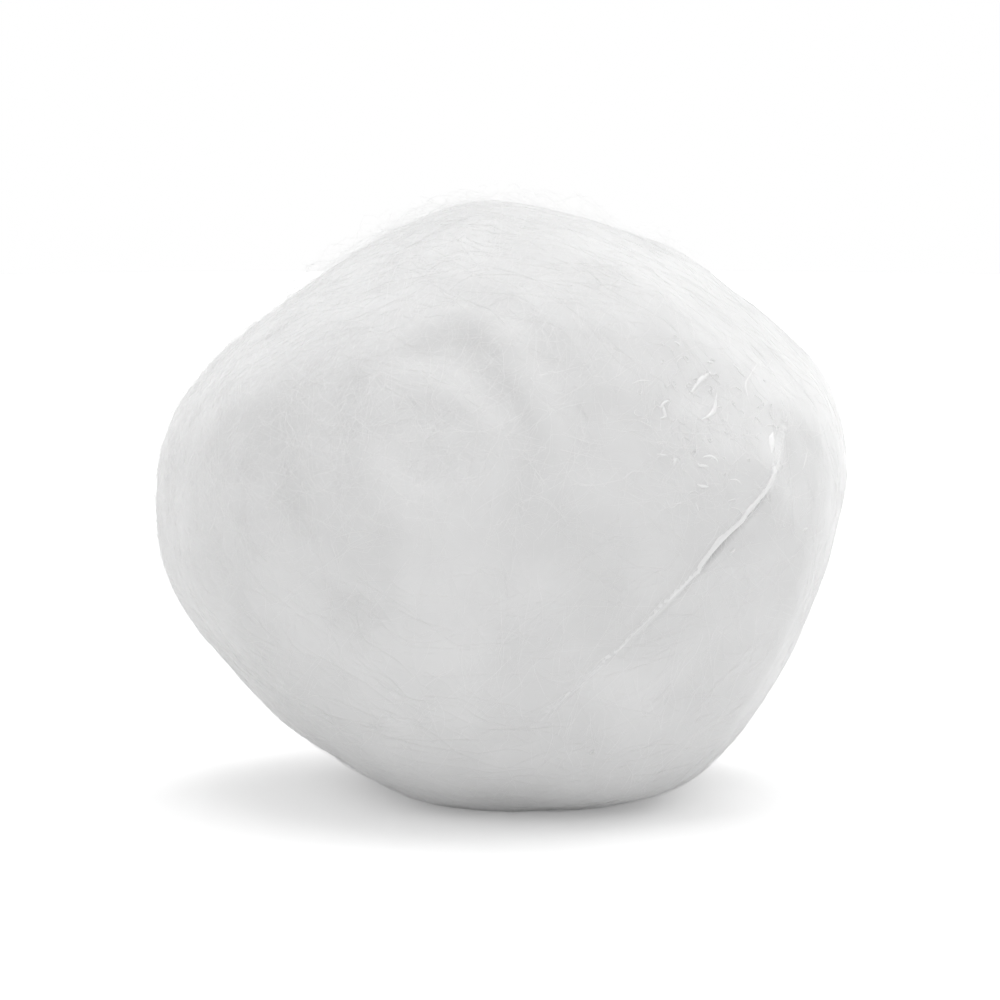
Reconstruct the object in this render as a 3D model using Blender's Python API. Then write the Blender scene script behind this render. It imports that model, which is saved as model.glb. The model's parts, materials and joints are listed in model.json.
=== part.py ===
"""Cotton ball: a short length of carded cotton web, rolled up and pressed into a soft ball.

It is one piece of loose fibre. The roll's axis points to the front, a little to the left, so the front and
the back each show the end of the coil as a swirl of soft turns. The web's loose end lies across the lower
right as a thin lip. Neighbours in the bag have pressed flats into the ball, and it stands on the lowest one.

Metres, +Z up, +X to the right and -Y to the front. The origin is on the resting surface, under the middle.
"""

import math

import bmesh
import bpy
from mathutils import Matrix, Vector, noise

# Size of the round roll, before anything presses on it
ROLL_WIDTH = 0.0415
ROLL_DEPTH = 0.0376
ROLL_HEIGHT = 0.0362

# Flats pressed into it: how deep, and the way each one faces as (turn to the right from the front, tilt up)
UPPER_LEFT_PRESS = 0.0001
UPPER_LEFT_FACING = (-84.0, 51.0)
UPPER_RIGHT_PRESS = 0.0005
UPPER_RIGHT_FACING = (80.0, 59.0)
RIGHT_PRESS = 0.0001
RIGHT_FACING = (92.0, 1.0)
LOWER_RIGHT_PRESS = 0.0020
LOWER_RIGHT_FACING = (84.0, -29.0)
LOWER_LEFT_PRESS = 0.0010
LOWER_LEFT_FACING = (-78.0, -46.0)
FRONT_PRESS = 0.0006
FRONT_FACING = (16.0, -14.0)
BACK_LEFT_PRESS = 0.0017
BACK_LEFT_FACING = (-142.0, 20.0)
BACK_RIGHT_PRESS = 0.0013
BACK_RIGHT_FACING = (138.0, -12.0)
PRESS_ROUNDING = 0.0044  # reach of the soft edge round each flat
FOOT_PRESS = 0.0014  # the side that the ball stands on
FOOT_FACING = (0.0, -90.0)
FOOT_CUT = 0.0005  # taken off level, so that it stands on a true flat

# Coil: the turns of the web that show at both ends of the roll
AXIS_FACING = (-18.4, 17.0)
COIL_WIDTH = 0.0200  # across the outermost turn
COIL_HEIGHT = 0.0225
COIL_TURNS = 2.3
COIL_DEPTH = 0.00055  # of the valley between two turns
COIL_PATCH = 0.0065  # size of the stretches where a turn lies deep or fades
COIL_STRAY = 0.16  # how far a turn strays from a true spiral, in turns
COIL_FADE = 0.45  # the outer share of the coil over which the turns fade out
HEART_WIDTH = 0.0055  # dimple in the middle of the coil
HEART_DEPTH = 0.0004

# Gathers: folds that run out from the coil, where the web's sides are drawn in
GATHER_COUNT = 7
GATHER_DEPTH = 0.00032
GATHER_START = 1.0  # share of the coil's width where they begin
GATHER_REACH = 0.0105  # how far they run past it

# Lip: the loose end of the web, and a fainter wrap that ends beside it
LIP_PATH = ((54.0, 18.8), (45.0, 11.7), (34.0, 2.8), (27.4, -6.5), (15.3, -19.5), (7.0, -28.5))
LIP_HEIGHT = 0.00075  # thickness of the web at its end
LIP_RAMP = 0.0048  # width over which the web rises to its end
LIP_DROP = 0.0007  # width of the step down at the end
LIP_RISE = 0.22  # share of the path's length over which the lip rises from nothing at its upper end
LIP_TAIL = 0.6  # and over which it sinks to nothing at its lower end
WRAP_PATH = ((20.0, 17.0), (16.0, 11.3), (10.3, 5.9), (4.6, -0.3), (-2.0, -9.0))
WRAP_HEIGHT = 0.00026
WRAP_RAMP = 0.0042
WRAP_DROP = 0.0022
WRAP_FADE = 0.4

# Unevenness of the loose fibre: size and height of its lumps and ripples
LUMP_SIZE = 0.0125
LUMP_HEIGHT = 0.0007
RIPPLE_SIZE = 0.0042
RIPPLE_HEIGHT = 0.00018

# Fineness of the surface
BALL_SUBDIVISIONS = 5
COIL_MARGIN = 1.1  # faces within this share of the coil's width are halved
LIP_MARGIN = 0.0016  # and so are those this near the lip, twice
LIP_PASSES = 2

COTTON_COLOUR = (0.90, 0.90, 0.89, 1.0)
COTTON_ROUGHNESS = 0.95
COTTON_SHEEN = 0.4


def facing(turn_and_tilt):
    """Unit vector of a direction given in degrees, to the right from the front and up from level."""
    turn, tilt = (math.radians(angle) for angle in turn_and_tilt)
    return Vector((math.sin(turn) * math.cos(tilt), -math.cos(turn) * math.cos(tilt), math.sin(tilt)))


HALF_SIZES = Vector((ROLL_WIDTH, ROLL_DEPTH, ROLL_HEIGHT)) / 2
MEAN_RADIUS = sum(HALF_SIZES) / 3
AXIS = facing(AXIS_FACING)
FLATS = [
    (facing(way), press)
    for way, press in (
        (UPPER_LEFT_FACING, UPPER_LEFT_PRESS),
        (UPPER_RIGHT_FACING, UPPER_RIGHT_PRESS),
        (RIGHT_FACING, RIGHT_PRESS),
        (LOWER_RIGHT_FACING, LOWER_RIGHT_PRESS),
        (LOWER_LEFT_FACING, LOWER_LEFT_PRESS),
        (FRONT_FACING, FRONT_PRESS),
        (BACK_LEFT_FACING, BACK_LEFT_PRESS),
        (BACK_RIGHT_FACING, BACK_RIGHT_PRESS),
        (FOOT_FACING, FOOT_PRESS),
    )
]
LIP = [facing(way) for way in LIP_PATH]
WRAP = [facing(way) for way in WRAP_PATH]


def smooth_step(value):
    """0 below 0, 1 above 1, with a soft rise between."""
    value = min(1.0, max(0.0, value))
    return value * value * (3 - 2 * value)


def wave(turns, sharpness=1):
    """1 at whole turns and 0 halfway between, narrower round the whole turns as sharpness rises."""
    return (0.5 + 0.5 * math.cos(math.tau * turns)) ** sharpness


def patchiness(way, size, place):
    """Slow variation over the surface, from -1 to 1. place tells apart two that have the same size."""
    return noise.noise(way * (MEAN_RADIUS / size) + Vector((place, 2 * place, 3 * place)))


def soft_least(first, second, reach):
    """The smaller of two lengths, rounded off where they come within reach of each other."""
    near = max(reach - abs(first - second), 0.0) / reach
    return min(first, second) - near * near * reach / 4


def reach_of_roll(way):
    """How far the round roll's tangent plane lies from its middle, for the plane that faces this way."""
    return Vector([size * part for size, part in zip(HALF_SIZES, way)]).length


def pressed_radius(way):
    """Distance from the middle to the surface in this direction, with the flats pressed in."""
    radius = 1 / Vector([part / size for size, part in zip(HALF_SIZES, way)]).length
    for normal, press in FLATS:
        towards = way.dot(normal)
        if towards > 0:
            flat = (reach_of_roll(normal) - press) / towards
            radius = soft_least(radius, flat, PRESS_ROUNDING)
    return radius


def coil_place(way, end):
    """Place of a direction at one end of the roll, front 1 or back -1: distance from the axis, angle round it."""
    pole = AXIS * end
    across = pole.cross(Vector((0, 0, 1))).normalized()
    upwards = across.cross(pole)
    return way.angle(pole) * MEAN_RADIUS, math.atan2(way.dot(upwards), way.dot(across))


def coil_rim(angle):
    """Distance from the axis to the oval rim of the coil, at this angle round it."""
    return 1 / math.hypot(2 * math.cos(angle) / COIL_WIDTH, 2 * math.sin(angle) / COIL_HEIGHT)


def coil_relief(way, end):
    """Valleys between the turns at one end of the roll, with a dimple in the middle."""
    distance, angle = coil_place(way, end)
    share = distance / coil_rim(angle)
    if share > 1 + COIL_FADE:
        return 0.0
    stray = COIL_STRAY * patchiness(way, COIL_PATCH, 0)
    turns = (share + stray) * COIL_TURNS - end * angle / math.tau
    depth = COIL_DEPTH * max(0.0, 0.65 + 0.9 * patchiness(way, COIL_PATCH, 1.7))
    fade = smooth_step(COIL_TURNS * share) * (1 - smooth_step((share - 1) / COIL_FADE + 0.5))
    heart = HEART_DEPTH * smooth_step(1 - 2 * distance / HEART_WIDTH)
    return -depth * wave(turns) * fade - heart


def gather_relief(way, end):
    """Folds between the coil and the round side of the roll."""
    distance, angle = coil_place(way, end)
    past = (distance - GATHER_START * coil_rim(angle)) / GATHER_REACH
    if not 0 < past < 1:
        return 0.0
    patch = patchiness(way, COIL_PATCH, 2.6)
    fold = wave((GATHER_COUNT * angle + 3 * patch) / math.tau, 3)
    return -GATHER_DEPTH * (0.7 + 0.8 * patch) * fold * math.sin(math.pi * past)


def edge_place(way, path):
    """Place of a direction beside a path: distance across it, positive past the edge, share along, distance."""
    places = []
    for step, (start, end) in enumerate(zip(path, path[1:])):
        normal = start.cross(end).normalized()
        span = start.angle(end)
        beside = (way - normal * way.dot(normal)).normalized()
        along = math.atan2(start.cross(beside).dot(normal), start.dot(beside)) / span
        along = min(1.0, max(0.0, along))
        nearest = Matrix.Rotation(along * span, 3, normal) @ start
        distance = way.angle(nearest, 0.0) * MEAN_RADIUS
        side = math.copysign(distance, way.dot(normal))
        places.append((distance, side, (step + along) / (len(path) - 1)))
    distance, side, along = min(places)
    return side, along, distance


def edge_relief(way, path, height, ramp, drop, rise, tail):
    """Web that rises slowly to its end along the path, and steps down past it."""
    side, along, distance = edge_place(way, path)
    if distance > ramp:
        return 0.0
    height *= smooth_step(along / rise) * smooth_step((1 - along) / tail)
    width = ramp if side < 0 else drop
    return height * (1 - smooth_step(distance / width))


def unevenness(way):
    """Lumps and ripples of the loose fibre."""
    return LUMP_HEIGHT * patchiness(way, LUMP_SIZE, 0) + RIPPLE_HEIGHT * patchiness(way, RIPPLE_SIZE, 0)


def surface_point(way):
    """Point of the finished surface in this direction from the middle of the roll."""
    relief = unevenness(way)
    for end in (1, -1):
        relief += coil_relief(way, end) + gather_relief(way, end)
    relief += edge_relief(way, LIP, LIP_HEIGHT, LIP_RAMP, LIP_DROP, LIP_RISE, LIP_TAIL)
    relief += edge_relief(way, WRAP, WRAP_HEIGHT, WRAP_RAMP, WRAP_DROP, WRAP_FADE, WRAP_FADE)
    return way * (pressed_radius(way) + relief)


def near_coil(way):
    """Whether the coil passes this direction, so that the surface has to be finer here."""
    places = [coil_place(way, end) for end in (1, -1)]
    return any(distance < COIL_MARGIN * coil_rim(angle) for distance, angle in places)


def near_lip(way):
    """Whether the web's loose end passes this direction."""
    return edge_place(way, LIP)[2] < LIP_MARGIN


def refine(bm, wanted):
    """Halves the edges whose middles are wanted, on the unit sphere."""
    edges = [edge for edge in bm.edges if wanted((edge.verts[0].co + edge.verts[1].co).normalized())]
    bmesh.ops.subdivide_edges(bm, edges=edges, cuts=1)
    bmesh.ops.triangulate(bm, faces=bm.faces)
    for vert in bm.verts:
        vert.co.normalize()


def flatten_foot(bm):
    """Cuts the ball off level where it stands, and closes the cut with one flat face."""
    level = Vector((0, 0, min(vert.co.z for vert in bm.verts) + FOOT_CUT))
    geometry = bm.verts[:] + bm.edges[:] + bm.faces[:]
    cut = bmesh.ops.bisect_plane(
        bm, geom=geometry, dist=1e-6, plane_co=level, plane_no=(0, 0, -1), clear_outer=True
    )
    rim = [item for item in cut["geom_cut"] if isinstance(item, bmesh.types.BMEdge)]
    bmesh.ops.edgenet_fill(bm, edges=rim)


def stand_on_origin(mesh):
    """Moves the mesh so that its foot is level with the origin, and the origin is under the middle of its box."""
    lowest = Vector([min(vert.co[axis] for vert in mesh.vertices) for axis in range(3)])
    highest = Vector([max(vert.co[axis] for vert in mesh.vertices) for axis in range(3)])
    middle = (lowest + highest) / 2
    mesh.transform(Matrix.Translation((-middle.x, -middle.y, -lowest.z)))


def cotton_material():
    """Bleached cotton: white, matt and without any shine."""
    material = bpy.data.materials.new("bleached_cotton")
    material.use_nodes = True
    shader = material.node_tree.nodes["Principled BSDF"]
    shader.inputs["Base Color"].default_value = COTTON_COLOUR
    shader.inputs["Roughness"].default_value = COTTON_ROUGHNESS
    shader.inputs["Metallic"].default_value = 0.0
    shader.inputs["Sheen Weight"].default_value = COTTON_SHEEN
    material.diffuse_color = COTTON_COLOUR
    return material


def cotton_ball():
    """The whole ball as one closed mesh."""
    bm = bmesh.new()
    bmesh.ops.create_icosphere(bm, subdivisions=BALL_SUBDIVISIONS, radius=1.0)
    refine(bm, near_coil)
    for _ in range(LIP_PASSES):
        refine(bm, near_lip)
    for vert in bm.verts:
        vert.co = surface_point(vert.co.normalized())
    flatten_foot(bm)
    bmesh.ops.triangulate(bm, faces=bm.faces)
    bmesh.ops.recalc_face_normals(bm, faces=bm.faces)
    mesh = bpy.data.meshes.new("cotton_ball")
    bm.to_mesh(mesh)
    bm.free()
    stand_on_origin(mesh)
    mesh.shade_smooth()
    mesh.materials.append(cotton_material())
    return bpy.data.objects.new("cotton_ball", mesh)


def main():
    for old in list(bpy.data.objects):
        bpy.data.objects.remove(old)
    collection = bpy.data.collections.new("cotton_ball")
    bpy.context.scene.collection.children.link(collection)
    collection.objects.link(cotton_ball())


main()
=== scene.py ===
import json
import math

import bmesh
import bpy
import numpy as np
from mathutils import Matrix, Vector, noise

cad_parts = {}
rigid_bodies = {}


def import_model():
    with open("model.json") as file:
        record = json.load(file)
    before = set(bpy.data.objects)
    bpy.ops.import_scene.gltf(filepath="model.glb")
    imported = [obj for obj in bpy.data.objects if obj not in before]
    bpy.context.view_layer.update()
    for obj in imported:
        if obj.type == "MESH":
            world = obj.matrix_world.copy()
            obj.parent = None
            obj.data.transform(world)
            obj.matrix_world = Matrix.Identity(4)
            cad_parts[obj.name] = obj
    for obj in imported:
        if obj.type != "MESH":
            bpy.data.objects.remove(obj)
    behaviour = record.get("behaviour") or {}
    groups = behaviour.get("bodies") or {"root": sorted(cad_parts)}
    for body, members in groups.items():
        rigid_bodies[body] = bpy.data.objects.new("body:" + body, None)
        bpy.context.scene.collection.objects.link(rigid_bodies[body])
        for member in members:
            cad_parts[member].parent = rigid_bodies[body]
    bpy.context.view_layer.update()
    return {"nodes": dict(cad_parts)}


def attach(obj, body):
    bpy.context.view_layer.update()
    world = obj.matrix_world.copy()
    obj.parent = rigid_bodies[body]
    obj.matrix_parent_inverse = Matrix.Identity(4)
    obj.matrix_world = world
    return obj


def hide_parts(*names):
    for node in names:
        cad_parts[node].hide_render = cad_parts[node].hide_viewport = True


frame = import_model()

scene = bpy.context.scene


# Small tools

def linear(hexColour):  # sRGB hex to linear RGBA
    parts = [int(hexColour[i:i + 2], 16) / 255 for i in (1, 3, 5)]
    return [part / 12.92 if part <= 0.04045 else ((part + 0.055) / 1.055) ** 2.4 for part in parts] + [1.0]


def addNode(tree, kind, settings=None, inputs=None):  # one node, with its settings, values and links
    node = tree.nodes.new(kind)
    for name, value in (settings or {}).items():
        setattr(node, name, value)
    for name, value in (inputs or {}).items():
        if isinstance(value, bpy.types.NodeSocket):
            tree.links.new(value, node.inputs[name])
        else:
            node.inputs[name].default_value = value
    return node


def maths(tree, operation, *values):
    return addNode(tree, "ShaderNodeMath", {"operation": operation}, dict(enumerate(values))).outputs[0]


def vectorMaths(tree, operation, vector, other):  # the other is a vector too, or the factor of a SCALE
    inputs = {0: vector, "Scale" if operation == "SCALE" else 1: other}
    return addNode(tree, "ShaderNodeVectorMath", {"operation": operation}, inputs).outputs[0]


def anyNumber(tree, low, high, seed, which=None):  # random, one for each point or each fibre
    inputs = {2: low, 3: high, "Seed": seed}
    if which is not None:
        inputs["ID"] = which
    return addNode(tree, "FunctionNodeRandomValue", {"data_type": "FLOAT"}, inputs).outputs[1]


def seenPlainly(tree):  # 1 where the camera looks straight, in a mirror or through glass, or else 0
    rays = addNode(tree, "ShaderNodeLightPath").outputs
    seen = maths(tree, "ADD", rays["Is Camera Ray"], rays["Is Glossy Ray"])
    return addNode(tree, "ShaderNodeMath", {"operation": "ADD", "use_clamp": True},
                   {0: seen, 1: rays["Is Transmission Ray"]}).outputs[0]


def facing(turn, tilt):  # unit vector, in degrees to the right from the front and up from level
    turn, tilt = math.radians(turn), math.radians(tilt)
    return Vector((math.sin(turn) * math.cos(tilt), -math.cos(turn) * math.cos(tilt), math.sin(tilt)))


def newObject(name, data):
    made = bpy.data.objects.new(name, data)
    scene.collection.objects.link(made)
    return made


def evaluatedMesh(obj):  # plain mesh of the object with its modifiers in it
    graph = bpy.context.evaluated_depsgraph_get()
    return bpy.data.meshes.new_from_object(obj.evaluated_get(graph), depsgraph=graph)


def readVectors(items, name):  # one vector of each item, as rows
    rows = np.empty(len(items) * 3)
    items.foreach_get(name, rows)
    return rows.reshape(-1, 3)


def smoothStep(value):
    value = np.clip(value, 0, 1)
    return value * value * (3 - 2 * value)


# Ball: where the roll's axis and the web's loose end lie, as in the part

ball = {
    "axis": facing(-18.4, 17.0),
    "lip": [(54.0, 18.8), (45.0, 11.7), (34.0, 2.8), (27.4, -6.5), (15.3, -19.5), (7.0, -28.5)],
    "lipReach": 0.0012,  # how far from the lip the fibres turn to run along it
    "crestWidth": 0.0005,
    "crestHeight": 0.00016,
    "crestEnd": 0.0002,  # how far past the web's end the crest goes
    "foldPast": 0.00066,  # of the fold just past the lip, a groove that is also darkened by painted shade
    "foldWidth": 0.00036,
    "foldDepth": 0.00035,
    "foldAlong": [(0.20, 0), (0.26, 0.7), (0.38, 1), (0.44, 1), (0.50, 0.3), (0.75, 0)],
    "middle": Vector((0.00097, -0.00029, 0.01594)),  # of the roll
    "voxel": 0.00030,
    "smoothing": 3,
    "lipCuts": 2,  # of each edge beside the lip, where the faces are finer
    "footFade": 0.001,  # height below which the relief fades, so that the foot stays flat
    "tuftSize": 0.0042,  # soft tufts of the web
    "tuftHeight": 0.00014,
    "strandLength": 0.0048,  # strands that lie round the roll
    "strandWidth": 0.0007,
    "strandHeight": 0.00003,
    "strandCore": 0.003,  # nearer to the axis than this they get no shorter
    "seamFrom": 2.6,  # angle from the top at which the strands' seam starts, in radians
    "fuzzySide": facing(-70.0, 50.0),  # where the web is pulled loose most
    "nepSide": facing(39.0, 23.0),  # where small knots of fibre lie
}


def surfaceLine(body, ways, steps=12):  # points on the surface, each with the line's run and the way out
    fine = [start.slerp(end, step / steps) for start, end in zip(ways, ways[1:]) for step in range(steps)]
    fine.append(ways[-1])
    for _ in range(steps):  # rounds the corners off
        fine[1:-1] = [((before + way + after) / 3).normalized()
                      for before, way, after in zip(fine, fine[1:], fine[2:])]
    line = []
    for before, way, after in zip(fine[:1] + fine, fine, fine[1:] + fine[-1:]):
        hit, place, normal, _ = body.ray_cast(ball["middle"] + way * 0.05, -way)
        if hit:
            line.append((place, (after - before).normalized(), normal))
    return line


def along(pairs, share):  # value at a share of a line's length
    return np.interp(share, *zip(*pairs))


def lipGuide(body, places, normals):  # how near each point is to the lip, its crest and its fold, whose mask also paints shade into the colour
    line = surfaceLine(body, [facing(*way) for way in ball["lip"]])
    points = np.array([place for place, run, normal in line])
    gaps = np.linalg.norm(places[:, None] - points[None], axis=2)
    nearest = gaps.argmin(axis=1)
    runs = np.array([run for place, run, normal in line])[nearest]
    past = ((places - points[nearest]) * np.cross(normals, runs)).sum(axis=1)  # past the web's end
    near = smoothStep(1 - gaps.min(axis=1) / ball["lipReach"])
    crest = smoothStep(1 - gaps.min(axis=1) / ball["crestWidth"]) * smoothStep(1 - past / ball["crestEnd"])
    fold = smoothStep(1 - abs(past - ball["foldPast"]) / ball["foldWidth"]) * (near > 0)
    return near, crest, fold * along(ball["foldAlong"], nearest / len(line)), runs


def strandNoise(place):  # noise stretched round the roll's axis, whose seam lies under the ball
    axis = ball["axis"]
    out = place - ball["middle"]
    forward = out.dot(axis)
    flat = out - axis * forward
    up = (Vector((0, 0, 1)) - axis * axis.z).normalized()
    side = axis.cross(up)
    angle = math.atan2(flat.dot(side), flat.dot(up))
    radius = flat.length
    value = 0.0
    fade = min(1.0, max(0.0, (abs(angle) - ball["seamFrom"]) / (math.pi - ball["seamFrom"]))) / 2
    for turn, share in ((angle, 1 - fade), (angle - math.copysign(math.tau, angle), fade)):
        if share > 0:
            spot = Vector((forward / ball["strandWidth"], radius / ball["strandWidth"],
                           turn * max(radius, ball["strandCore"]) / ball["strandLength"]))
            value += share * noise.noise(spot)
    return value


def makeBody():
    node = frame["nodes"]["cotton_ball"]
    mesh = node.data.copy()
    bm = bmesh.new()
    bm.from_mesh(mesh)
    bmesh.ops.remove_doubles(bm, verts=bm.verts, dist=1e-6)
    bm.to_mesh(mesh)
    bm.free()
    rough = newObject("roughBody", mesh)
    remesh = rough.modifiers.new("remesh", "REMESH")
    remesh.mode = "VOXEL"
    remesh.voxel_size = ball["voxel"]
    remesh.adaptivity = 0
    soften = rough.modifiers.new("soften", "SMOOTH")
    soften.factor = 0.5
    soften.iterations = ball["smoothing"]
    body = newObject("cottonBody", evaluatedMesh(rough))
    bpy.data.objects.remove(rough)
    mesh = body.data
    mesh.materials.clear()

    # Finer faces beside the lip, for its crest and its fold
    near = lipGuide(body, readVectors(mesh.vertices, "co"), readVectors(mesh.vertices, "normal"))[0]
    bm = bmesh.new()
    bm.from_mesh(mesh)
    finer = [edge for edge in bm.edges if all(near[vert.index] > 0.05 for vert in edge.verts)]
    bmesh.ops.subdivide_edges(bm, edges=finer, cuts=ball["lipCuts"], use_grid_fill=True)
    bmesh.ops.triangulate(bm, faces=[face for face in bm.faces if len(face.verts) > 4])
    bm.to_mesh(mesh)
    bm.free()

    # Relief: soft tufts, strands round the roll, the crest and the fold; the fold's mask is also kept to
    # paint shade into the colour
    places = readVectors(mesh.vertices, "co")
    normals = readVectors(mesh.vertices, "normal")
    heights = np.empty(len(places))
    for i, place in enumerate(map(Vector, places)):
        tufts = noise.fractal(place / ball["tuftSize"], 1.0, 2.0, 2)
        heights[i] = ball["tuftHeight"] * tufts + ball["strandHeight"] * strandNoise(place)
    _, crest, fold, _ = lipGuide(body, places, normals)
    heights += ball["crestHeight"] * crest - ball["foldDepth"] * fold
    # Painted shade: the fold's mask is stored so that the web's colour is darkened along it
    attribute = mesh.attributes.new("fold", "FLOAT", "POINT")
    attribute.data.foreach_set("value", fold.astype(np.float32))
    heights *= np.clip(places[:, 2] / ball["footFade"], 0, 1)
    places += normals * heights[:, None]
    places[:, 2] = np.maximum(places[:, 2], 0)
    mesh.vertices.foreach_set("co", places.ravel())
    mesh.shade_smooth()
    mesh.update()
    return body


guides = {
    "straySize": 0.007,  # of the patches in which the fibres turn away from the roll's run
    "stray": 1.4,
    "looseFrom": 0.2,  # how squarely a place faces the fuzzy side where loose fibres start
    "looseOver": 0.7,
    "fuzzElsewhere": 0.2,
    "footClear": 0.006,  # height below which the fuzz gets thinner
    "nepFrom": 0.94,
    "nepOver": 0.05,
    "nepElsewhere": 0.003,
}


def addFibreGuides(body):  # which way the fibres run, and how densely each kind stands
    mesh = body.data
    places = readVectors(mesh.vertices, "co")
    normals = readVectors(mesh.vertices, "normal")
    comb = np.cross(np.array(ball["axis"]), normals)
    stray = np.array([noise.noise(Vector(place) / guides["straySize"]) for place in places])
    stray *= guides["stray"]
    comb /= np.maximum(np.linalg.norm(comb, axis=1), 1e-6)[:, None]
    beside = np.cross(normals, comb)
    comb = comb * np.cos(stray)[:, None] + beside * np.sin(stray)[:, None]
    near, crest, _, runs = lipGuide(body, places, normals)
    comb = comb * (1 - near)[:, None] + runs * near[:, None]
    loose = smoothStep((normals @ np.array(ball["fuzzySide"]) - guides["looseFrom"]) / guides["looseOver"])
    fuzz = guides["fuzzElsewhere"] + (1 - guides["fuzzElsewhere"]) * loose
    clear = smoothStep(places[:, 2] / guides["footClear"])
    out = places - np.array(ball["middle"])
    out /= np.linalg.norm(out, axis=1)[:, None]
    neps = smoothStep((out @ np.array(ball["nepSide"]) - guides["nepFrom"]) / guides["nepOver"])
    neps += guides["nepElsewhere"]
    weights = {"fuzzWeight": clear * fuzz, "looseWeight": clear * loose, "lipWeight": crest,
               "nepWeight": neps * clear, "webWeight": np.ones(len(places))}
    for name, values in weights.items():
        attribute = mesh.attributes.new(name, "FLOAT", "POINT")
        attribute.data.foreach_set("value", values.astype(np.float32))
    attribute = mesh.attributes.new("comb", "FLOAT_VECTOR", "POINT")
    attribute.data.foreach_set("vector", comb.astype(np.float32).ravel())


# Rolls: thin twists of web that lie on the surface

rolls = {
    "wander": 0.00012,
    "wanderSize": 0.0012,
    "lumpSize": 0.0014,
    "lip": {"radius": 0.00017, "ways": [(46.5, 13.2)] + ball["lip"][1:],
            "thick": [(0, 0.5), (0.04, 1.8), (0.12, 1), (0.3, 1), (0.42, 1.4), (0.62, 1.1), (1, 0.5)],
            "sink": [(0, 0.3), (0.04, 1.1), (0.12, 0.4), (0.3, 0.5), (0.42, 1.1), (0.62, 1.15), (1, 0.8)]},
    "nep": {"thick": [(0, 0.25), (0.3, 1), (0.7, 1), (1, 0.25)],  # along a roll, in its radii
            "sink": [(0, 0.2), (0.3, 0.7), (0.7, 0.7), (1, 0.2)]},
    "neps": [  # radius, and directions in degrees
        (0.00009, [(57.1, 31.4), (48.9, 28.7), (47.5, 27.0), (47.1, 24.6)]),
        (0.00026, [(41.8, 31.3), (38.1, 29.7), (34.8, 27.9)]),
        (0.00018, [(41.2, 27.1), (39.0, 24.5), (37.6, 23.4), (35.3, 22.8)]),
        (0.00034, [(50.6, 19.0), (46.9, 15.6)]),
        (0.00006, [(36.5, 12.1), (37.9, 12.1), (38.5, 11.2)]),
        (0.00008, [(59.1, 14.9), (58.2, 13.7), (56.3, 12.1)]),
        (0.00016, [(53.8, 2.3), (55.4, 2.7)]),
        (0.00006, [(22.9, 30.1), (24.8, 30.5), (26.8, 30.4)]),
        (0.00008, [(25.2, 17.6), (27.0, 17.2)]),
        (0.00007, [(30.7, 9.1), (30.9, 7.7)]),
        (0.00009, [(55.7, 22.6), (55.1, 21.0)]),
    ],
}


def makeRolls(name, body, lines, shape):
    data = bpy.data.curves.new(name + "Lines", "CURVE")
    data.dimensions = "3D"
    data.bevel_depth = 1.0
    data.bevel_resolution = 3
    data.use_fill_caps = True
    for radius, ways in lines:
        line = surfaceLine(body, [facing(*way) for way in ways])
        spline = data.splines.new("POLY")
        spline.points.add(len(line) - 1)
        for i, (place, run, normal) in enumerate(line):
            share = i / (len(line) - 1)
            stray = noise.noise(place / rolls["wanderSize"]) * rolls["wander"]
            lumps = radius * (0.9 + 0.5 * noise.noise(place / rolls["lumpSize"]))
            sink = lumps * along(shape["sink"], share)
            spline.points[i].co = (*(place - normal * sink + normal.cross(run) * stray), 1.0)
            spline.points[i].radius = lumps * along(shape["thick"], share)
    rough = newObject(name + "Curve", data)
    made = newObject(name, evaluatedMesh(rough))
    bpy.data.objects.remove(rough)
    made.data.materials.clear()
    made.data.shade_smooth()
    made.data.calc_loop_triangles()
    print(f"{name}: {len(made.data.loop_triangles)} triangles")
    return made


# Fibres: thin closed tubes that follow the surface, grown by one node tree

def startTree(name, sockets):  # a node tree with its sockets, and roots spread over the web
    tree = bpy.data.node_groups.new(name, "GeometryNodeTree")
    for socket, kind in sockets:
        tree.interface.new_socket(socket, in_out="INPUT", socket_type="NodeSocket" + kind)
    tree.interface.new_socket("Geometry", in_out="OUTPUT", socket_type="NodeSocketGeometry")
    given = addNode(tree, "NodeGroupInput").outputs
    weight = addNode(tree, "GeometryNodeInputNamedAttribute", {"data_type": "FLOAT"},
                     {"Name": given["Weight"]})
    density = maths(tree, "MULTIPLY", given["Density"], weight.outputs["Attribute"])
    roots = addNode(tree, "GeometryNodeDistributePointsOnFaces", {"distribute_method": "RANDOM"},
                    {"Mesh": given["Geometry"], "Density": density, "Seed": given["Seed"]})
    return tree, given, roots.outputs


def strayOver(tree, given, place, wander):  # the noise, the place it leads to on the web, and the way out
    sway = vectorMaths(tree, "SUBTRACT", wander.outputs["Color"], (0.5, 0.5, 0.5))
    strayed = vectorMaths(tree, "ADD", place, vectorMaths(tree, "SCALE", sway, given["Wave"]))
    normal = addNode(tree, "GeometryNodeInputNormal").outputs[0]
    surface, outward = [addNode(tree, "GeometryNodeSampleNearestSurface", {"data_type": "FLOAT_VECTOR"},
                                {"Mesh": given["Geometry"], "Value": value, "Sample Position": strayed})
                        for value in (place, normal)]
    return sway, surface.outputs[0], outward.outputs[0]


def archAlong(tree):  # place along a line, from 0 to 1, and a bow that is highest halfway
    share = addNode(tree, "GeometryNodeSplineParameter").outputs["Factor"]
    return share, maths(tree, "SINE", maths(tree, "MULTIPLY", share, math.pi))


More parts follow.
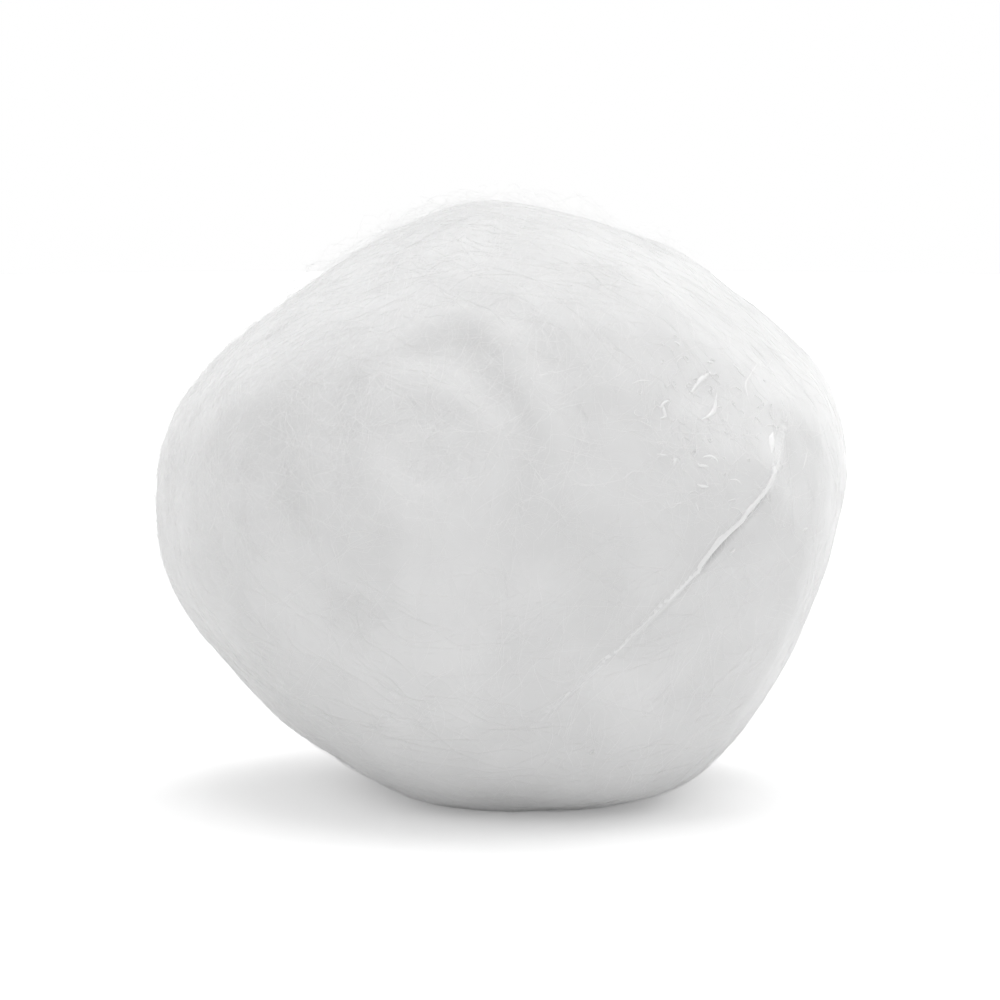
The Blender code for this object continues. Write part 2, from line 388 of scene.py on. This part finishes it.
def closeTree(tree, given, laid, radius, sides):  # makes closed tubes of the lines
    section = addNode(tree, "GeometryNodeCurvePrimitiveCircle", None, {"Resolution": sides, "Radius": 1.0})
    tube = addNode(tree, "GeometryNodeCurveToMesh", None,
                   {"Curve": laid.outputs[0], "Profile Curve": section.outputs[0],
                    "Scale": radius, "Fill Caps": True})
    whole = addNode(tree, "GeometryNodeRealizeInstances", None, {"Geometry": tube.outputs[0]})
    finished = addNode(tree, "GeometryNodeSetMaterial", None,
                       {"Geometry": whole.outputs[0], "Material": given["Material"]})
    addNode(tree, "NodeGroupOutput", None, {"Geometry": finished.outputs[0]})
    return tree


fibreSockets = [
    ("Geometry", "Geometry"),
    ("Weight", "String"),
    ("Density", "Float"),  # roots for each square metre
    ("Seed", "Int"),
    ("Length", "Float"),
    ("Radius", "Float"),
    ("Points", "Int"),
    ("Spread", "Float"),  # how far fibres turn from the comb, in radians
    ("Wave", "Float"),
    ("WaveSize", "Float"),
    ("Lift", "Float"),  # how far out the highest fibres stand
    ("FreeEnds", "Float"),  # share that stand out at one end, the others arch
    ("Curl", "Float"),
    ("Material", "Material"),
]
fibreShape = {
    "shortest": 0.45,  # share of its kind's length
    "thinnest": 0.6,
    "ownNoise": 7.31,  # how far apart the noises of two fibres lie
    "endPower": 1.6,  # a free end bends up towards its tip
    "liftPower": 2.2,  # the higher this is, the more fibres lie low
    "taperPower": 0.45,
    "tip": 0.2,  # share of the radius that is left at both ends
    "sides": 3,
}


def fibreTree():
    tree, given, roots = startTree("fibresOnWeb", fibreSockets)
    index = addNode(tree, "GeometryNodeInputIndex").outputs[0]
    marked = addNode(tree, "GeometryNodeStoreNamedAttribute", {"data_type": "INT", "domain": "POINT"},
                     {"Geometry": roots["Points"], "Name": "fibre", "Value": index})
    comb = addNode(tree, "GeometryNodeInputNamedAttribute", {"data_type": "FLOAT_VECTOR"}, {"Name": "comb"})
    turns = maths(tree, "ADD", anyNumber(tree, -1.0, 1.0, 11), anyNumber(tree, -1.0, 1.0, 12))
    turned = addNode(tree, "ShaderNodeVectorRotate", {"rotation_type": "AXIS_ANGLE"},
                     {"Vector": comb.outputs["Attribute"], "Axis": roots["Normal"],
                      "Angle": maths(tree, "MULTIPLY", turns, given["Spread"])})
    rotation = addNode(tree, "FunctionNodeAxesToRotation", {"primary_axis": "Z", "secondary_axis": "X"},
                       {"Primary Axis": roots["Normal"], "Secondary Axis": turned.outputs[0]})
    length = maths(tree, "MULTIPLY", anyNumber(tree, fibreShape["shortest"], 1.0, 13), given["Length"])
    scale = addNode(tree, "ShaderNodeCombineXYZ", None, {"X": length, "Y": 1.0, "Z": 1.0})
    line = addNode(tree, "GeometryNodeCurvePrimitiveLine", None,
                   {"Start": (-0.5, 0, 0), "End": (0.5, 0, 0)})
    stepped = addNode(tree, "GeometryNodeResampleCurve", None,
                      {"Curve": line.outputs[0], "Count": given["Points"]})
    placed = addNode(tree, "GeometryNodeInstanceOnPoints", None,
                     {"Points": marked.outputs[0], "Instance": stepped.outputs[0],
                      "Rotation": rotation.outputs[0], "Scale": scale.outputs[0]})
    lines = addNode(tree, "GeometryNodeRealizeInstances", None, {"Geometry": placed.outputs[0]})

    # Each fibre wanders over the surface
    number = addNode(tree, "GeometryNodeInputNamedAttribute", {"data_type": "INT"}, {"Name": "fibre"})
    fibre = number.outputs[0]
    place = addNode(tree, "GeometryNodeInputPosition").outputs[0]
    spot = vectorMaths(tree, "SCALE", place, maths(tree, "DIVIDE", 1.0, given["WaveSize"]))
    own = maths(tree, "MULTIPLY", fibre, fibreShape["ownNoise"])
    wander = addNode(tree, "ShaderNodeTexNoise", {"noise_dimensions": "4D"},
                     {"Vector": spot, "W": own, "Scale": 1.0, "Detail": 1.0})
    sway, surface, outward = strayOver(tree, given, place, wander)

    # and stands out of it a little, as an arch or as a free end
    share, arch = archAlong(tree)
    end = maths(tree, "POWER", share, fibreShape["endPower"])
    isFree = addNode(tree, "FunctionNodeRandomValue", {"data_type": "BOOLEAN"},
                     {"Probability": given["FreeEnds"], "ID": fibre, "Seed": 14})
    shape = addNode(tree, "GeometryNodeSwitch", {"input_type": "FLOAT"},
                    {"Switch": isFree.outputs[3], "False": arch, "True": end})
    tall = maths(tree, "POWER", anyNumber(tree, 0.0, 1.0, 15, fibre), fibreShape["liftPower"])
    rise = maths(tree, "MULTIPLY", shape.outputs[0], maths(tree, "MULTIPLY", tall, given["Lift"]))
    onSurface = vectorMaths(tree, "ADD", surface, vectorMaths(tree, "SCALE", outward, rise))
    curl = vectorMaths(tree, "SCALE", sway, maths(tree, "MULTIPLY", rise, given["Curl"]))
    curled = vectorMaths(tree, "ADD", onSurface, curl)
    parts = addNode(tree, "ShaderNodeSeparateXYZ", None, {0: curled}).outputs
    above = maths(tree, "MAXIMUM", parts["Z"], given["Radius"])
    final = addNode(tree, "ShaderNodeCombineXYZ", None, {"X": parts["X"], "Y": parts["Y"], "Z": above})
    laid = addNode(tree, "GeometryNodeSetPosition", None,
                   {"Geometry": lines.outputs[0], "Position": final.outputs[0]})

    # Thin tube, finer towards both ends
    taper = maths(tree, "POWER", arch, fibreShape["taperPower"])
    blunt = maths(tree, "MAXIMUM", taper, fibreShape["tip"])
    fine = maths(tree, "MULTIPLY", anyNumber(tree, fibreShape["thinnest"], 1.0, 16, fibre), blunt)
    radius = maths(tree, "MULTIPLY", fine, given["Radius"])
    return closeTree(tree, given, laid, radius, fibreShape["sides"])


# Neps: small knots where a few fibres have curled up

nepSockets = [
    ("Geometry", "Geometry"),
    ("Weight", "String"),
    ("Density", "Float"),
    ("Seed", "Int"),
    ("Curl", "Float"),  # radius of the widest curl
    ("Radius", "Float"),
    ("Sides", "Int"),
    ("Turns", "Float"),
    ("Steps", "Int"),  # for each turn
    ("Wave", "Float"),
    ("WaveSize", "Float"),
    ("Rise", "Float"),  # how far the curls lie out of the web
    ("Material", "Material"),
]
nepShape = {
    "tilt": 0.3,  # out of the surface, in radians
    "smallest": 0.4,  # share of its kind's size
    "inner": 0.35,  # radius of the narrowest curl, as a share of the widest
    "tip": 0.12,  # share of the radius that is left at both ends
}


def nepTree():
    tree, given, roots = startTree("nepsOnWeb", nepSockets)
    tilt = nepShape["tilt"]
    spin = addNode(tree, "FunctionNodeRandomValue", {"data_type": "FLOAT_VECTOR"},
                   {0: (-tilt, -tilt, 0.0), 1: (tilt, tilt, math.tau), "Seed": 21})
    spun = addNode(tree, "FunctionNodeEulerToRotation", None, {0: spin.outputs[0]})
    rotation = addNode(tree, "FunctionNodeRotateRotation", {"rotation_space": "LOCAL"},
                       {"Rotation": roots["Rotation"], "Rotate By": spun.outputs[0]})
    size = anyNumber(tree, nepShape["smallest"], 1.0, 22)
    inner = maths(tree, "MULTIPLY", given["Curl"], nepShape["inner"])
    curl = addNode(tree, "GeometryNodeCurveSpiral", None,
                   {"Resolution": given["Steps"], "Rotations": given["Turns"], "Start Radius": given["Curl"],
                    "End Radius": inner, "Height": given["Rise"]})
    placed = addNode(tree, "GeometryNodeInstanceOnPoints", None,
                     {"Points": roots["Points"], "Instance": curl.outputs[0],
                      "Rotation": rotation.outputs[0], "Scale": size})
    curls = addNode(tree, "GeometryNodeRealizeInstances", None, {"Geometry": placed.outputs[0]})

    # No two curls are alike, and all lie along the web
    place = addNode(tree, "GeometryNodeInputPosition").outputs[0]
    finer = maths(tree, "DIVIDE", 1.0, given["WaveSize"])
    wander = addNode(tree, "ShaderNodeTexNoise", None, {"Vector": place, "Scale": finer, "Detail": 1.0})
    _, surface, outward = strayOver(tree, given, place, wander)
    onWeb = vectorMaths(tree, "ADD", surface, vectorMaths(tree, "SCALE", outward, given["Rise"]))
    laid = addNode(tree, "GeometryNodeSetPosition", None, {"Geometry": curls.outputs[0], "Position": onWeb})
    _, arch = archAlong(tree)
    taper = maths(tree, "MAXIMUM", arch, nepShape["tip"])
    return closeTree(tree, given, laid, maths(tree, "MULTIPLY", taper, given["Radius"]), given["Sides"])


def grow(name, body, tree, values, smooth=False):
    holder = newObject(name + "Holder", body.data.copy())
    modifier = holder.modifiers.new("fibres", "NODES")
    modifier.node_group = tree
    for item in tree.interface.items_tree:
        if item.in_out == "INPUT" and item.name in values:
            modifier[item.identifier] = values[item.name]
    mesh = evaluatedMesh(holder)
    holder.modifiers.remove(modifier)
    bpy.data.objects.remove(holder)
    for spare in [item.name for item in mesh.attributes if item.name in ("fibre", "comb")]:
        mesh.attributes.remove(mesh.attributes[spare])
    if smooth:
        mesh.shade_smooth()
    else:
        mesh.shade_flat()
    piece = newObject(name, mesh)
    mesh.calc_loop_triangles()
    print(f"{name}: {len(mesh.loop_triangles)} triangles")
    return piece


# Materials

# Bleached carded cotton: white, fully matt, and lit through for a few millimetres, so its shadows are soft
web = {
    "colour": "#F1F1F1",
    "shade": "#EAEAEA",  # thicker places
    "fold": "#B4B4B4",  # painted shade, for the dark deep in the fold between two layers of the web
    "patchSize": 0.0065,
    "roughness": 0.95,
    "sheen": 1.0,
    "sheenRoughness": 0.45,
    "depth": 0.0016,  # how far light travels in it
    "strandAcross": 0.00016,  # drawn coarser than the real 0.02 mm fibres, so that it shows
    "strandAlong": 0.0022,
    "bump": 0.2,
    "bumpHeight": 0.00004,
    "specular": 0.2,
    "through": 0.3,  # share of the light that goes in
}


def cottonWebMaterial():
    material = bpy.data.materials.new("bleachedCottonWeb")
    material.use_nodes = True
    tree = material.node_tree
    shader = tree.nodes["Principled BSDF"]
    shader.subsurface_method = "BURLEY"
    place = addNode(tree, "ShaderNodeTexCoord").outputs["Object"]
    patches = addNode(tree, "ShaderNodeTexNoise", None,
                      {"Vector": place, "Scale": 1 / web["patchSize"], "Detail": 2.0})
    cloudy = addNode(tree, "ShaderNodeMapRange", {"interpolation_type": "SMOOTHSTEP"},
                     {"Value": patches.outputs["Fac"], "From Min": 0.32, "From Max": 0.68})
    colour = addNode(tree, "ShaderNodeMix", {"data_type": "RGBA"},
                     {"Factor": cloudy.outputs[0], 6: linear(web["colour"]), 7: linear(web["shade"])})
    # Painted shade: the base colour turns grey along the fold, for the shade deep between two layers of the
    # web
    fold = addNode(tree, "ShaderNodeAttribute", {"attribute_name": "fold"})
    colourWithPaintedShade = addNode(tree, "ShaderNodeMix", {"data_type": "RGBA"},
                     {"Factor": fold.outputs["Fac"], 6: colour.outputs[2], 7: linear(web["fold"])})
    tree.links.new(colourWithPaintedShade.outputs[2], shader.inputs["Base Color"])
    heights = []
    for turn in ((0.3, 0.2, 0.1), (0.9, -0.7, 1.3), (-0.5, 1.1, 2.4)):  # strands that cross each other
        scale = (1 / web["strandAlong"], 1 / web["strandAcross"], 1 / web["strandAcross"])
        mapping = addNode(tree, "ShaderNodeMapping", {"vector_type": "POINT"},
                          {"Vector": place, "Rotation": turn, "Scale": scale})
        strands = addNode(tree, "ShaderNodeTexNoise", None,
                          {"Vector": mapping.outputs[0], "Scale": 1.0, "Detail": 2.0, "Distortion": 0.3})
        heights.append(strands.outputs["Fac"])
    highest = maths(tree, "MAXIMUM", maths(tree, "MAXIMUM", heights[0], heights[1]), heights[2])
    bump = addNode(tree, "ShaderNodeBump", None,
                   {"Height": highest, "Strength": web["bump"], "Distance": web["bumpHeight"]})
    tree.links.new(bump.outputs[0], shader.inputs["Normal"])
    shader.inputs["Roughness"].default_value = web["roughness"]
    shader.inputs["Sheen Weight"].default_value = web["sheen"]
    shader.inputs["Sheen Roughness"].default_value = web["sheenRoughness"]
    shader.inputs["Specular IOR Level"].default_value = web["specular"]
    shader.inputs["Subsurface Weight"].default_value = web["through"]
    shader.inputs["Subsurface Radius"].default_value = (1.0, 1.0, 1.0)
    shader.inputs["Subsurface Scale"].default_value = web["depth"]
    return material


# Single cotton fibres: white cellulose, too thin for any shine but the soft light along their sides
fibre = {
    "colour": "#F9F9F9",
    "tipColour": "#FDFDFD",
    "roughness": 0.8,
    "sheen": 0.6,
    "specular": 0.2,
    "patches": 900.0,  # for each metre, so a patch is 1.1 mm
}


def cottonFibreMaterial():
    material = bpy.data.materials.new("bleachedCottonFibre")
    material.use_nodes = True
    tree = material.node_tree
    shader = tree.nodes["Principled BSDF"]
    place = addNode(tree, "ShaderNodeTexCoord").outputs["Object"]
    patches = addNode(tree, "ShaderNodeTexNoise", None,
                      {"Vector": place, "Scale": fibre["patches"], "Detail": 2.0})
    colour = addNode(tree, "ShaderNodeMix", {"data_type": "RGBA"},
                     {"Factor": patches.outputs["Fac"], 6: linear(fibre["colour"]),
                      7: linear(fibre["tipColour"])})
    tree.links.new(colour.outputs[2], shader.inputs["Base Color"])
    shader.inputs["Roughness"].default_value = fibre["roughness"]
    shader.inputs["Specular IOR Level"].default_value = fibre["specular"]
    shader.inputs["Sheen Weight"].default_value = fibre["sheen"]
    return material


# Studio: white floor, white room, one large soft lamp overhead and a pale panel at either side behind

studio = {
    "elevation": 8.0,
    "lens": 180.0,
    "distance": 0.290,
    "aim": (0.0, 0.0, 0.0168),
    "surround": (0.635, 0.28),  # of the room's white, in front of the ball and behind it
    "lamps": {  # place, size and power
        "softbox": ((0.04, 0.03, 0.55), 0.5, 2.0),
        "leftPanel": ((-0.27, 0.32, 0.14), 0.2, 0.32),
        "rightPanel": ((0.28, 0.30, 0.12), 0.2, 0.55),
    },
    "floorColour": "#F4F4F4",
    "floorGlow": 0.27,  # seen by the camera only
    "floorRadius": 0.32,
}


def makeStudio():
    camera = newObject("camera", bpy.data.cameras.new("camera"))
    camera.data.lens = studio["lens"]
    camera.data.sensor_width = 36.0
    camera.data.clip_start = 0.01
    tilt = math.radians(studio["elevation"])
    aim = Vector(studio["aim"])
    camera.location = aim + Vector((0, -math.cos(tilt), math.sin(tilt))) * studio["distance"]
    camera.rotation_euler = (aim - camera.location).to_track_quat("-Z", "Y").to_euler()
    scene.camera = camera

    for name, (place, size, power) in studio["lamps"].items():
        lamp = newObject(name, bpy.data.lights.new(name, "AREA"))
        lamp.data.shape = "SQUARE"
        lamp.data.size = size
        lamp.data.energy = power
        lamp.location = place
        lamp.rotation_euler = (aim - lamp.location).to_track_quat("-Z", "Y").to_euler()

    bm = bmesh.new()
    bmesh.ops.create_circle(bm, cap_ends=True, segments=96, radius=studio["floorRadius"])
    mesh = bpy.data.meshes.new("floor")
    bm.to_mesh(mesh)
    bm.free()
    floor = newObject("floor", mesh)

    # Plain white paper: matt, so it shows only the ball's soft shadow
    material = bpy.data.materials.new("whitePaper")
    material.use_nodes = True
    tree = material.node_tree
    shader = tree.nodes["Principled BSDF"]
    shader.inputs["Base Color"].default_value = linear(studio["floorColour"])
    shader.inputs["Roughness"].default_value = 0.9
    shader.inputs["Specular IOR Level"].default_value = 0.1
    glow = maths(tree, "MULTIPLY", seenPlainly(tree), studio["floorGlow"])
    shader.inputs["Emission Color"].default_value = linear("#FFFFFF")
    tree.links.new(glow, shader.inputs["Emission Strength"])
    mesh.materials.append(material)

    world = bpy.data.worlds.new("whiteRoom")
    scene.world = world
    world.use_nodes = True
    tree = world.node_tree
    background = tree.nodes["Background"]
    background.inputs["Color"].default_value = linear("#FFFFFF")
    around = addNode(tree, "ShaderNodeTexCoord").outputs["Generated"]
    way = addNode(tree, "ShaderNodeSeparateXYZ", None, {0: around})
    room = addNode(tree, "ShaderNodeMapRange", None,
                   {"Value": way.outputs["Y"], "From Min": -1.0, "From Max": 1.0,
                    "To Min": studio["surround"][0], "To Max": studio["surround"][1]})
    strength = addNode(tree, "ShaderNodeMix", None, {0: seenPlainly(tree), 2: room.outputs[0], 3: 1.0})
    tree.links.new(strength.outputs[0], background.inputs["Strength"])
    scene.view_settings.view_transform = "Standard"


makeStudio()
print("studio ready")

body = makeBody()
addFibreGuides(body)
body.data.calc_loop_triangles()
print(f"body: {len(body.data.loop_triangles)} triangles")
body.data.materials.append(cottonWebMaterial())

fibreKinds = {
    "webFibresLong": {"Weight": "webWeight", "Density": 0.75e6, "Seed": 3, "Length": 0.011,
                      "Radius": 0.000009, "Points": 10, "Spread": 0.9, "Wave": 0.0036, "WaveSize": 0.0045,
                      "Lift": 0.00007, "FreeEnds": 0.1, "Curl": 1.0},
    "webFibresShort": {"Weight": "webWeight", "Density": 0.7e6, "Seed": 4, "Length": 0.006,
                       "Radius": 0.000009, "Points": 7, "Spread": 1.5, "Wave": 0.0032, "WaveSize": 0.0030,
                       "Lift": 0.00018, "FreeEnds": 0.2, "Curl": 1.5},
    "fuzzLow": {"Weight": "fuzzWeight", "Density": 0.60e6, "Seed": 5, "Length": 0.0034, "Radius": 0.000008,
                "Points": 8, "Spread": 3.0, "Wave": 0.0026, "WaveSize": 0.0016, "Lift": 0.0005,
                "FreeEnds": 0.6, "Curl": 2.2},
    "fuzzLoose": {"Weight": "looseWeight", "Density": 4.2e6, "Seed": 10, "Length": 0.0038,
                  "Radius": 0.000007, "Points": 8, "Spread": 3.0, "Wave": 0.0028, "WaveSize": 0.0016,
                  "Lift": 0.0013, "FreeEnds": 0.5, "Curl": 1.4},
    "fuzzHigh": {"Weight": "fuzzWeight", "Density": 0.14e6, "Seed": 7, "Length": 0.0058, "Radius": 0.000007,
                 "Points": 12, "Spread": 3.0, "Wave": 0.0036, "WaveSize": 0.0019, "Lift": 0.0014,
                 "FreeEnds": 0.5, "Curl": 1.6},
    "lipFibres": {"Weight": "lipWeight", "Density": 8e6, "Seed": 6, "Length": 0.0045, "Radius": 0.000012,
                  "Points": 7, "Spread": 0.15, "Wave": 0.0006, "WaveSize": 0.002, "Lift": 0.00022,
                  "FreeEnds": 0.3, "Curl": 1.0},
}
nepKinds = {
    "nepRolls": {"Weight": "nepWeight", "Density": 0.10e6, "Seed": 8, "Curl": 0.0009, "Radius": 0.00010,
                 "Sides": 8, "Turns": 0.34, "Steps": 40, "Wave": 0.0011, "WaveSize": 0.0009,
                 "Rise": -0.00004},
    "nepCurls": {"Weight": "nepWeight", "Density": 0.5e6, "Seed": 12, "Curl": 0.00055, "Radius": 0.000022,
                 "Sides": 4, "Turns": 0.7, "Steps": 14, "Wave": 0.0007, "WaveSize": 0.0006, "Rise": 0.00003},
    "nepKnots": {"Weight": "nepWeight", "Density": 0.3e6, "Seed": 9, "Curl": 0.00020, "Radius": 0.000026,
                 "Sides": 4, "Turns": 1.6, "Steps": 10, "Wave": 0.0004, "WaveSize": 0.0003, "Rise": 0.00003},
}
fibreMaterial = cottonFibreMaterial()
fibresOnWeb, nepsOnWeb = fibreTree(), nepTree()
pieces = [grow(name, body, fibresOnWeb, {**values, "Material": fibreMaterial})
          for name, values in fibreKinds.items()]
pieces += [grow(name, body, nepsOnWeb, {**values, "Material": fibreMaterial}, smooth=values["Sides"] > 4)
           for name, values in nepKinds.items()]
lipLines = [(rolls["lip"]["radius"], rolls["lip"]["ways"])]
twists = [makeRolls("lipRoll", body, lipLines, rolls["lip"]),
          makeRolls("nepTwists", body, rolls["neps"], rolls["nep"])]
for twist in twists:
    twist.data.materials.append(fibreMaterial)
for piece in pieces + twists:
    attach(piece, "root")

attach(body, "root")
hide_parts("cotton_ball")
